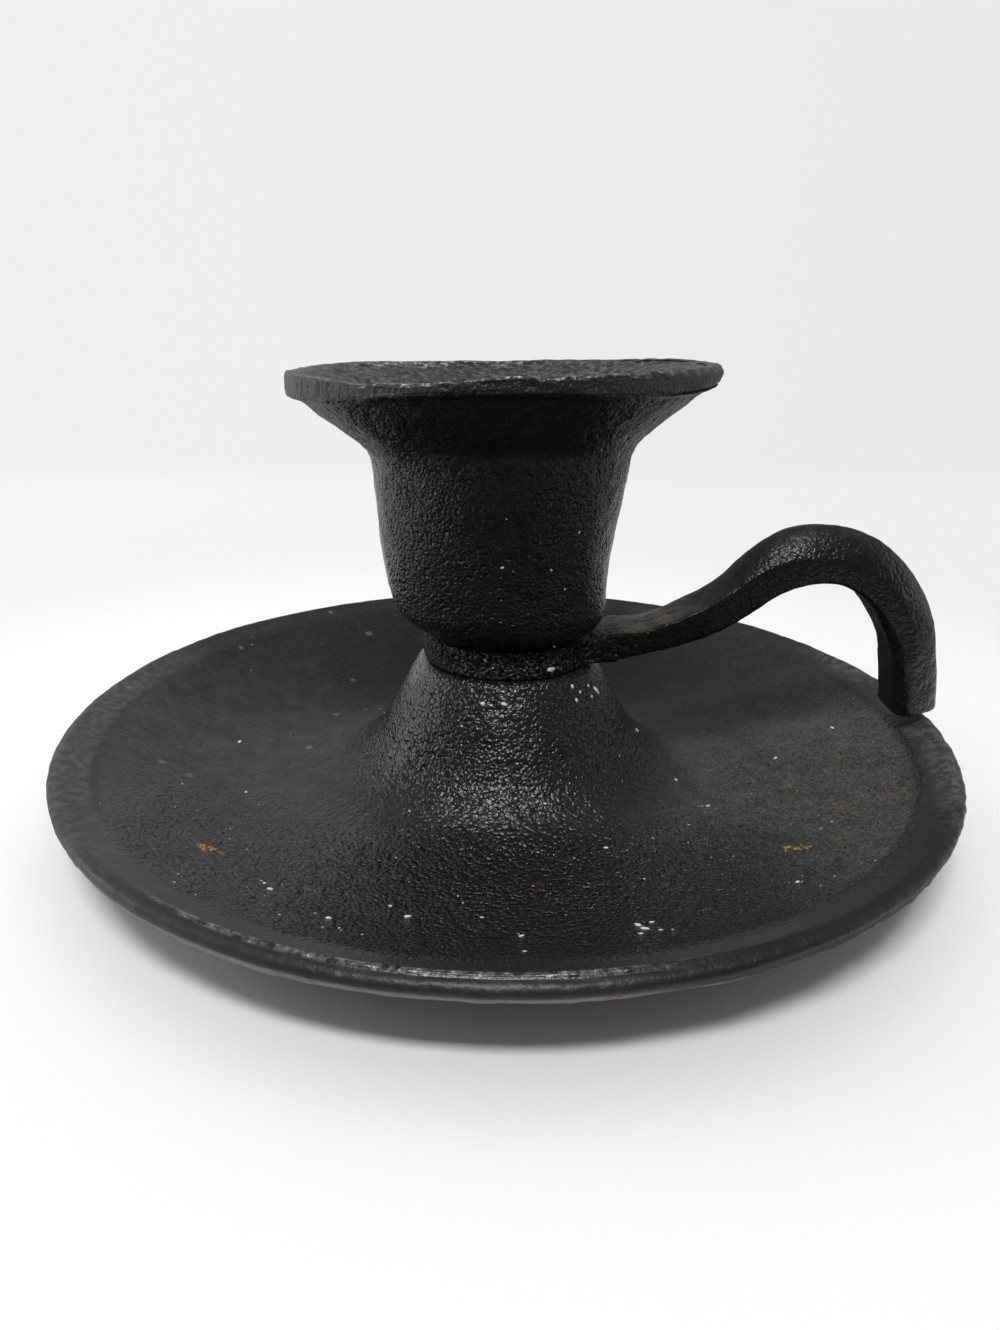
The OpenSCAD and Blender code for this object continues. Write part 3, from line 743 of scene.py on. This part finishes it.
def clamp_screw(finish):
    """A slotted, countersunk screw: a turned shell with its slot cut out."""
    shank_top = HEAD_Z - 0.4 - (HEAD_R - SCREW_R)
    profile, zone, _ = section(
        ("face", 0.5, [(0.02, HEAD_Z), (HEAD_R - 0.15, HEAD_Z)]),
        ("head", 0.4, [(HEAD_R, HEAD_Z - 0.15), (HEAD_R, HEAD_Z - 0.4), (SCREW_R, shank_top)]),
        ("shank", 1.5, [(SCREW_R, 17.6)]),
        ("thread", 0.1, [(SCREW_R, SCREW_Z + 0.4), (1.9, SCREW_Z)]),
        ("tip", 0.3, [(0.02, SCREW_Z)]),
    )
    columns = 72
    r, z, theta, _, _ = turned(profile, columns)
    cut_in = ease(z, SCREW_Z - 0.3, SCREW_Z + 0.5)
    r = np.where(np.repeat(zone, columns) == "thread",
                 threaded(r, z, theta) * cut_in + (1 - cut_in) * 1.95, r)
    # the shell runs from the middle of the face to the middle of the tip
    rows = len(profile)
    faces = ring_faces(rows, columns)
    first = int(np.argmin(profile[:, 0] - 100 * (profile[:, 1] > HEAD_Z - 0.01)))
    last = int(np.argmin(profile[:, 0] - 100 * (profile[:, 1] < SCREW_Z + 0.01)))
    faces = [tuple(int(v) for v in q) for q in faces[:last * columns]
             if q[0] // columns >= first]
    faces.append(tuple(first * columns + j for j in range(columns)))
    faces.append(tuple(last * columns + j for j in reversed(range(columns))))
    piece = mesh_piece("clamp_screw", to_points(r, z, theta), faces, finish, "screw")
    half, deep, reach = 0.6, 1.1, HEAD_R + 1
    corners = [(x * MM, y * MM, h * MM) for x in (-reach, reach) for y in (-half, half)
               for h in (HEAD_Z - deep, HEAD_Z + 1)]
    block = bpy.data.meshes.new("slot_cutter")
    block.from_pydata(corners, [], [(0, 1, 3, 2), (4, 6, 7, 5), (0, 4, 5, 1), (2, 3, 7, 6),
                                    (0, 2, 6, 4), (1, 5, 7, 3)])
    cutter = bpy.data.objects.new("slot_cutter", block)
    bpy.context.scene.collection.objects.link(cutter)
    cut = piece.modifiers.new("slot", "BOOLEAN")
    cut.operation, cut.solver, cut.object = "DIFFERENCE", "EXACT", cutter
    bpy.context.view_layer.update()
    done = bpy.data.meshes.new_from_object(
        piece.evaluated_get(bpy.context.evaluated_depsgraph_get()))
    piece.modifiers.clear()
    piece.data = done
    bpy.data.objects.remove(cutter)
    done.set_sharp_from_angle(angle=math.radians(35))
    return piece


def clamp_nut(finish):
    face_r = NUT_W / 2 * 0.97
    thread_r, mouth_r = SCREW_R + 0.05, SCREW_R + 0.35
    top = NUT_Z + NUT_H
    profile, zone, _ = section(
        ("bottom", 0.5, [(mouth_r, NUT_Z)]),
        ("mouth", 0.2, [(thread_r, NUT_Z + 0.3)]),
        ("bore", 0.5, [(thread_r, top - 0.3)]),
        ("mouth", 0.2, [(mouth_r, top)]),
        ("top", 0.5, [(5.0, top)]),
        ("hex", 0.35, [(5.0, NUT_Z)]),
    )
    columns = 192
    r, z, theta, _, _ = turned(profile, columns)
    where = np.repeat(zone, columns)
    flat_r = NUT_W / 2 / np.cos((theta + math.pi / 6) % (math.pi / 3) - math.pi / 6)
    chamfer = face_r + np.minimum(z - NUT_Z, top - z) * 1.9
    r = np.where(where == "hex", np.minimum(flat_r, chamfer), r)
    r = np.where(np.isin(where, ("top", "bottom")), np.minimum(r, face_r), r)
    piece = mesh_piece("clamp_nut", to_points(r, z, theta), ring_faces(len(profile), columns),
                       finish, "nut")
    piece.data.set_sharp_from_angle(angle=math.radians(30))
    return piece


def pan_top(r):
    """Height of the pan's upper surface at a distance from the centre line."""
    if r < 12.9:
        return SEAT_Z
    if r < 18.52:
        return SEAT_Z - (r - 12.9) * 1.7675
    if r < 32.7:
        return 19.3 - math.sqrt(16.3 ** 2 - (32.7 - r) ** 2)
    return 52.7 - math.sqrt(49.7 ** 2 - (min(r, 60.0) - 32.7) ** 2)


def on_pan(x, y):
    """The place on the pan above (x, y), and the way that its surface faces."""
    r = math.hypot(x, y)
    slope = (pan_top(r + 0.05) - pan_top(r - 0.05)) / 0.1
    return Vector((x, y, pan_top(r))), Vector((-x / r * slope, -y / r * slope, 1))


def on_cup(turn, z):
    """The place on the cup's side at an angle in degrees and a height."""
    out = Vector((math.cos(math.radians(turn)), math.sin(math.radians(turn)), 0))
    r = 15 + (z - CUP_Z) * math.tan(math.radians(7))
    shift = float(lookup(CORE_SHIFT, np.array(z)))
    return out * r + Vector((-shift, 0, z)), out - Vector((0, 0, 0.12))


def on_eye(turn, z):
    """The place on the eye's rim at an angle in degrees and a height."""
    out = Vector((math.cos(math.radians(turn)), math.sin(math.radians(turn)), 0))
    return out * EYE_R + Vector((0, 0, z)), out


def crumb(place, normal, size, draw):
    """A flat, uneven crumb lying on a surface: its points and faces."""
    normal = normal.normalized()
    side = normal.orthogonal().normalized()
    along = normal.cross(side)
    around = 8
    turn, long = draw.uniform(0, TAU), draw.uniform(1.0, 2.2)
    size *= 0.85
    points = []
    for level, share in ((-0.12, 0.9), (0.06, 1.0), (0.18, 0.62)):
        for k in range(around):
            a = TAU * k / around
            reach = size / 2 * share * (1 + draw.uniform(-0.4, 0.3))
            u, v = reach * long * math.cos(a), reach * math.sin(a)
            du = u * math.cos(turn) - v * math.sin(turn)
            dv = u * math.sin(turn) + v * math.cos(turn)
            points.append(place + side * du + along * dv + normal * (level * size))
    faces = [(lv * around + k, lv * around + (k + 1) % around,
              (lv + 1) * around + (k + 1) % around, (lv + 1) * around + k)
             for lv in range(2) for k in range(around)]
    faces.append(tuple(reversed(range(around))))
    faces.append(tuple(2 * around + k for k in range(around)))
    return points, faces


# Where the larger crumbs of wax lie: x, y and size
WAX_ON_PAN = [
    (-3.2, -14.0, 0.8), (-0.3, -14.3, 0.7), (9.3, -10.1, 0.6), (10.5, -9.7, 0.5),
    (11.7, -7.9, 0.7), (13.0, -6.9, 0.9), (9.9, -10.9, 0.7), (12.3, -8.5, 0.5),
    (15.0, -45.8, 0.7), (15.6, -47.2, 0.9), (16.6, -45.2, 0.5), (14.9, -48.8, 0.6),
    (17.1, -48.0, 0.5), (2.3, -53.7, 0.8), (2.0, -48.0, 0.6), (-28.5, -38.4, 0.5),
    (-27.5, -39.9, 0.8), (-19.4, -46.3, 0.8), (-11.0, -43.5, 0.8), (-13.3, -40.8, 0.5),
    (-2.5, -42.9, 0.6), (20.4, -0.1, 0.7), (21.6, 4.9, 0.6), (25.5, -8.0, 0.6),
    (29.2, -13.8, 0.5), (34.5, -39.0, 0.6), (52.4, 4.9, 0.6), (42.4, 0.2, 0.6),
    (-42.8, 3.4, 0.6), (-37.7, -12.4, 0.5), (13.4, -26.1, 0.5), (5.4, -21.2, 0.4),
]
# Angle, height and size
WAX_ON_CUP = [(-86.8, 38.6, 0.35), (-63.9, 37.9, 0.4), (-51.3, 42.6, 0.35), (-55.4, 34.9, 0.3),
              (-97.9, 53.9, 0.25), (-86.4, 45.1, 0.25), (-99.6, 38.9, 0.25), (-74.6, 41.2, 0.2)]
WAX_ON_EYE = [(-104.3, 26.0, 0.4), (-58.2, 25.9, 0.4), (-59.8, 22.5, 0.8), (-104.0, 24.3, 0.35),
              (-98.7, 23.2, 0.3)]
# Middle and number of each patch of ochre crust
OCHRE_ON_PAN = [(-37.2, -31.6, 16), (37.6, -28.6, 10), (-22.7, 20.0, 3)]


def scattered(draw, count):
    """Small crumbs on the pan, thickest in front and on the cone."""
    spots = []
    while len(spots) < count:
        x, y = draw.uniform(-58, 58, 2)
        r = math.hypot(x, y)
        likely = 0.15 + 0.85 * (y < -8) * (abs(x) < 44)
        if 15 < r < 59 and draw.uniform() < likely:
            spots.append((*on_pan(x, y), draw.uniform(0.10, 0.28)))
    return spots


def crumbs(name, spots, finish, draw):
    points, faces = [], []
    for place, normal, size in spots:
        p, f = crumb(place, normal, size, draw)
        faces += [tuple(v + len(points) for v in q) for q in f]
        points += p
    return mesh_piece(name, np.array([tuple(p) for p in points]), faces, finish)


def stage():
    """A pale table that turns up into a pale wall. Away from the chamberstick both show the
    camera and the iron's gloss their own plain tone; near it the table takes its shadow."""
    f = Finish("pale_table")
    f.done((0.88, 0.88, 0.88), 0.8, specular=0.2)
    camera_ray, gloss_ray = (f.node("ShaderNodeLightPath", output=ray)
                             for ray in ("Is Camera Ray", "Is Glossy Ray"))
    # the iron's gloss sees the table painted dark in front of the pan, as painted shade where the camera
    # stands, and painted dimmer upward and right
    gloss_shade_in_front = gloss_ray * f.y.ramp(-0.075, -0.110)
    gloss_shade = gloss_shade_in_front.most(gloss_ray * (f.z.ramp(0.10, 0.26) * 0.75).most(f.x.ramp(0.07, 0.14) * 0.60))
    # the table and wall are painted dimmer towards the right, as painted shade
    shade_to_right = f.x.ramp(-0.15, 0.15)
    table = f.blend(shade_to_right, (0.925, 0.910, 0.902), (0.870, 0.865, 0.862))
    wall = f.blend(shade_to_right, (0.885, 0.868, 0.858), (0.825, 0.822, 0.820))
    tone = f.blend(gloss_shade, f.blend(f.z.ramp(0.002, 0.014), table, wall), (0.03, 0.03, 0.03))
    plain = f.node("ShaderNodeEmission", None, [tone])
    away = camera_ray.most(gloss_ray) * f.radius.ramp(0.085, 0.170)
    lit = Wire(f, f.shader.outputs[0])
    mixed = f.node("ShaderNodeMixShader", None, [away.most(gloss_shade_in_front), lit, plain])
    f.put(f.tree.nodes["Material Output"].inputs["Surface"], mixed)
    back, sweep, high, wide = 0.240, 0.012, 1.2, 1.6
    line = [(-1.6, 0.0), (back - sweep, 0.0)]
    line += [(back - sweep + sweep * math.sin(a), sweep - sweep * math.cos(a))
             for a in np.linspace(0, math.pi / 2, 9)[1:]]
    line.append((back, high))
    points = [(x, y, z) for y, z in line for x in (-wide, wide)]
    faces = [(2 * i, 2 * i + 1, 2 * i + 3, 2 * i + 2) for i in range(len(line) - 1)]
    mesh = bpy.data.meshes.new("table_and_wall")
    mesh.from_pydata(points, [], faces)
    mesh.polygons.foreach_set("use_smooth", [True] * len(faces))
    mesh.materials.append(f.material)
    table_and_wall = bpy.data.objects.new("table_and_wall", mesh)
    bpy.context.scene.collection.objects.link(table_and_wall)


def lamp(name, place, target, width, depth, power):
    data = bpy.data.lights.new(name, "AREA")
    data.shape, data.size, data.size_y, data.energy = "RECTANGLE", width, depth, power
    made = bpy.data.objects.new(name, data)
    made.location = place
    aim = Vector(target) - Vector(place)
    made.rotation_euler = aim.to_track_quat("-Z", "Y").to_euler()
    bpy.context.scene.collection.objects.link(made)


def light():
    """A key lamp above and in front, soft side lamps a little behind, and a dim room."""
    lamp("key", (-0.052, -0.488, 0.871), (0, 0, 0.01), 0.40, 0.13, 6.4)
    lamp("overhead", (0.0, 0.10, 0.80), (0, 0.03, 0), 0.9, 0.7, 1.05)
    lamp("left", (-0.55, 0.06, 0.17), (0, 0, 0.03), 0.30, 0.30, 0.85)
    lamp("right", (0.55, 0.06, 0.17), (0, 0, 0.03), 0.30, 0.30, 0.24)
    world = bpy.data.worlds.new("room")
    world.use_nodes = True
    world.node_tree.nodes["Background"].inputs[0].default_value = (1.0, 0.98, 0.97, 1)
    world.node_tree.nodes["Background"].inputs[1].default_value = 0.20
    bpy.context.scene.world = world


def camera():
    pitch, roll, yaw = 0.358285, 0.0095786, -0.0074409
    ahead = Vector((math.sin(yaw) * math.cos(pitch), math.cos(yaw) * math.cos(pitch),
                    -math.sin(pitch)))
    right = Vector((math.cos(yaw), -math.sin(yaw), 0))
    up = right.cross(ahead)
    right, up = (math.cos(roll) * right + math.sin(roll) * up,
                 -math.sin(roll) * right + math.cos(roll) * up)
    data = bpy.data.cameras.new("photo_view")
    data.sensor_fit, data.sensor_width, data.lens = "HORIZONTAL", 36.0, 34.2
    data.clip_start, data.clip_end = 0.01, 10.0
    made = bpy.data.objects.new("photo_view", data)
    bpy.context.scene.collection.objects.link(made)
    turn = Matrix((right, up, -ahead)).transposed().to_4x4()
    made.matrix_world = Matrix.Translation((0, -0.13499, 0.06963)) @ turn
    bpy.context.scene.camera = made


bpy.context.scene.view_settings.view_transform = "Standard"
camera()
stage()
light()
draw = np.random.default_rng(7)
drip_pan(pan_finish())
candle_cup(cup_finish())
handle_casting(handle_finish())
steel = steel_finish()
clamp_screw(steel)
clamp_nut(steel)
wax = [(*on_pan(x, y), size) for x, y, size in WAX_ON_PAN]
wax += [(*on_cup(turn, z), size) for turn, z, size in WAX_ON_CUP]
wax += [(*on_eye(turn, z), size) for turn, z, size in WAX_ON_EYE]
crumbs("wax_crumbs", wax + scattered(draw, 150), wax_finish(), draw)
ochre = [(*on_pan(x + draw.normal(0, 1.0), y + draw.normal(0, 0.6)), draw.uniform(0.3, 0.9))
         for x, y, number in OCHRE_ON_PAN for _ in range(number)]
crumbs("ochre_crust", ochre, ochre_finish(), draw)
